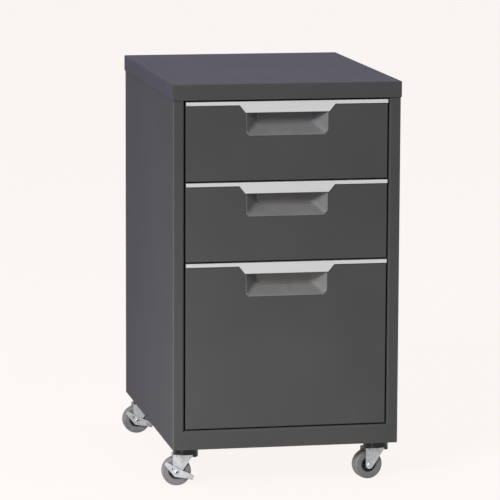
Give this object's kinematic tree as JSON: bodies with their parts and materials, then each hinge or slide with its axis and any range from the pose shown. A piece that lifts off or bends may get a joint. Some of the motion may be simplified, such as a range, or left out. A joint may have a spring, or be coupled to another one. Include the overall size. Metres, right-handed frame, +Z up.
{
  "type": "filing cabinet",
  "caption": "Mobile steel filing cabinet with shallow drawers over a deep file drawer, aluminium strip pulls over finger pockets, and swivel casters, some with brakes.",
  "frame": {"origin": "on the floor under the middle of the cabinet", "axes": "+X to the right seen from the front, -Y out of the front where the drawers open, +Z up"},
  "size_m": [0.4254, 0.533, 0.707],
  "materials": {
    "body_paint": "satin charcoal powder coat",
    "drawer_paint": "satin charcoal powder coat",
    "drawer_box_paint": "satin charcoal powder coat",
    "pull_aluminium": "satin silver",
    "pocket_plastic": "matte charcoal",
    "slide_zinc": "bright zinc plate",
    "galvanised_steel": "galvanised",
    "file_rail_steel": "satin black",
    "caster_black": "satin black",
    "fastener_zinc": "bright zinc plate",
    "caster_zinc": "bright zinc plate",
    "hub_plastic": "matte black",
    "tyre_rubber": "matte grey"
  },
  "bodies": {
    "cabinet": {"top_cap": "body_paint", "side_panel_left": "body_paint", "side_panel_right": "body_paint", "back_panel": "body_paint", "bottom_rail": "body_paint", "top_rail": "body_paint", "base_pan": "body_paint", "caster_stiffeners": "galvanised_steel", "runner_posts": "galvanised_steel", "swivel_crowns": "caster_black", "caster_stems": "fastener_zinc", "stem_nuts": "fastener_zinc", "slide_outer_top": "slide_zinc", "slide_outer_middle": "slide_zinc", "slide_outer_file": "slide_zinc"},
    "drawer_top": {"front_top": "drawer_paint", "pull_top": "pull_aluminium", "pocket_top": "pocket_plastic", "tray_top": "drawer_box_paint", "tray_ends_top": "drawer_box_paint", "slide_inner_top": "slide_zinc"},
    "slide_top": {"slide_middle_top": "slide_zinc"},
    "drawer_middle": {"front_middle": "drawer_paint", "pull_middle": "pull_aluminium", "pocket_middle": "pocket_plastic", "tray_middle": "drawer_box_paint", "tray_ends_middle": "drawer_box_paint", "slide_inner_middle": "slide_zinc"},
    "slide_middle": {"slide_middle_middle": "slide_zinc"},
    "drawer_file": {"front_file": "drawer_paint", "pull_file": "pull_aluminium", "pocket_file": "pocket_plastic", "tray_file": "drawer_box_paint", "tray_ends_file": "drawer_box_paint", "slide_inner_file": "slide_zinc", "file_rails": "file_rail_steel"},
    "slide_file": {"slide_middle_file": "slide_zinc"},
    "caster_front_left": {"fork_front_left": "caster_zinc", "axle_front_left": "fastener_zinc"},
    "wheel_front_left": {"hub_front_left": "hub_plastic", "tyre_front_left": "tyre_rubber"},
    "caster_front_right": {"fork_front_right": "caster_zinc", "axle_front_right": "fastener_zinc"},
    "wheel_front_right": {"hub_front_right": "hub_plastic", "tyre_front_right": "tyre_rubber"},
    "caster_rear_left": {"fork_rear_left": "caster_zinc", "axle_rear_left": "fastener_zinc"},
    "wheel_rear_left": {"hub_rear_left": "hub_plastic", "tyre_rear_left": "tyre_rubber"},
    "caster_rear_right": {"fork_rear_right": "caster_zinc", "axle_rear_right": "fastener_zinc"},
    "wheel_rear_right": {"hub_rear_right": "hub_plastic", "tyre_rear_right": "tyre_rubber"},
    "brake_front_left": {"brake_lever_front_left": "caster_zinc"},
    "brake_rear_left": {"brake_lever_rear_left": "caster_zinc"}
  },
  "joints": [
    {"name": "drawer_top_slide", "type": "slide", "parent": "cabinet", "child": "drawer_top", "axis": [0, -1, 0], "range_m": [0, 0.43]},
    {"name": "slide_top_extend", "type": "slide", "parent": "cabinet", "child": "slide_top", "axis": [0, -1, 0], "range_m": [0, 0.215]},
    {"name": "drawer_middle_slide", "type": "slide", "parent": "cabinet", "child": "drawer_middle", "axis": [0, -1, 0], "range_m": [0, 0.43]},
    {"name": "slide_middle_extend", "type": "slide", "parent": "cabinet", "child": "slide_middle", "axis": [0, -1, 0], "range_m": [0, 0.215]},
    {"name": "drawer_file_slide", "type": "slide", "parent": "cabinet", "child": "drawer_file", "axis": [0, -1, 0], "range_m": [0, 0.43]},
    {"name": "slide_file_extend", "type": "slide", "parent": "cabinet", "child": "slide_file", "axis": [0, -1, 0], "range_m": [0, 0.215]},
    {"name": "caster_front_left_swivel", "type": "hinge", "parent": "cabinet", "child": "caster_front_left", "pos_m": [-0.17025, -0.2235, 0.07], "axis": [0, 0, 1], "continuous": true},
    {"name": "wheel_front_left_spin", "type": "hinge", "parent": "caster_front_left", "child": "wheel_front_left", "pos_m": [-0.18671, -0.22235, 0.0255], "axis": [0.0698, 0.9976, 0], "continuous": true},
    {"name": "brake_front_left_pedal", "type": "hinge", "parent": "caster_front_left", "child": "brake_front_left", "pos_m": [-0.18671, -0.22235, 0.0255], "axis": [0.0698, 0.9976, 0], "range_deg": [0, 12]},
    {"name": "caster_front_right_swivel", "type": "hinge", "parent": "cabinet", "child": "caster_front_right", "pos_m": [0.17025, -0.2235, 0.07], "axis": [0, 0, 1], "continuous": true},
    {"name": "wheel_front_right_spin", "type": "hinge", "parent": "caster_front_right", "child": "wheel_front_right", "pos_m": [0.154, -0.22637, 0.0255], "axis": [-0.1736, 0.9848, 0], "continuous": true},
    {"name": "caster_rear_left_swivel", "type": "hinge", "parent": "cabinet", "child": "caster_rear_left", "pos_m": [-0.17025, 0.2235, 0.07], "axis": [0, 0, 1], "continuous": true},
    {"name": "wheel_rear_left_spin", "type": "hinge", "parent": "caster_rear_left", "child": "wheel_rear_left", "pos_m": [-0.18675, 0.22321, 0.0255], "axis": [-0.0175, 0.9998, 0], "continuous": true},
    {"name": "brake_rear_left_pedal", "type": "hinge", "parent": "caster_rear_left", "child": "brake_rear_left", "pos_m": [-0.18675, 0.22321, 0.0255], "axis": [-0.0175, 0.9998, 0], "range_deg": [0, 12]},
    {"name": "caster_rear_right_swivel", "type": "hinge", "parent": "cabinet", "child": "caster_rear_right", "pos_m": [0.17025, 0.2235, 0.07], "axis": [0, 0, 1], "continuous": true},
    {"name": "wheel_rear_right_spin", "type": "hinge", "parent": "caster_rear_right", "child": "wheel_rear_right", "pos_m": [0.18671, 0.22235, 0.0255], "axis": [-0.0698, -0.9976, 0], "continuous": true}
  ],
  "couplings": [
    {"joint": "slide_top_extend", "follows": "drawer_top_slide", "ratio": 0.5},
    {"joint": "slide_middle_extend", "follows": "drawer_middle_slide", "ratio": 0.5},
    {"joint": "slide_file_extend", "follows": "drawer_file_slide", "ratio": 0.5}
  ]
}
